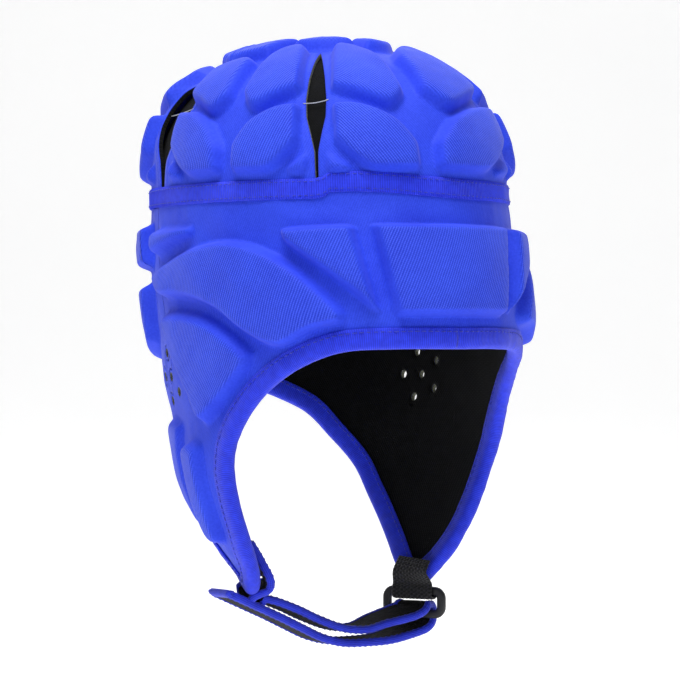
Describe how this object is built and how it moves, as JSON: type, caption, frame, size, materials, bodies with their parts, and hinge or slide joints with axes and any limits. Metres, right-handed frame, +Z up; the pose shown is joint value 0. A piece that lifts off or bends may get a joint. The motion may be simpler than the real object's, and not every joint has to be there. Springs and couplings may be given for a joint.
{
  "type": "rugby scrum cap",
  "caption": "Padded fabric headguard with a slit crown of foam cells, a seam band, deep ear flaps with vents, bound edges and a chin strap through a ring.",
  "frame": {"origin": "inside of the crown's top, where the cap sits on the head", "axes": "+Z up, -Y towards the wearer's face, +X to the wearer's left"},
  "size_m": [0.1786, 0.2228, 0.2978],
  "materials": {
    "shell_fabric": "blue twill over foam",
    "lining_fabric": "black knitted lining",
    "band_fabric": "ribbed blue ribbon",
    "binding_fabric": "blue edge tape, stitched",
    "strap_pile": "black brushed pile",
    "loop_plastic": "moulded black plastic",
    "webbing": "black woven webbing"
  },
  "bodies": {
    "root": {"crown": "shell_fabric", "crown_lining": "lining_fabric", "crown_band": "band_fabric", "side_body": "shell_fabric", "body_lining": "lining_fabric", "edge_binding": "binding_fabric", "chin_strap": "strap_pile", "strap_binding": "binding_fabric", "strap_loop": "loop_plastic", "loop_tab": "webbing"}
  },
  "joints": []
}
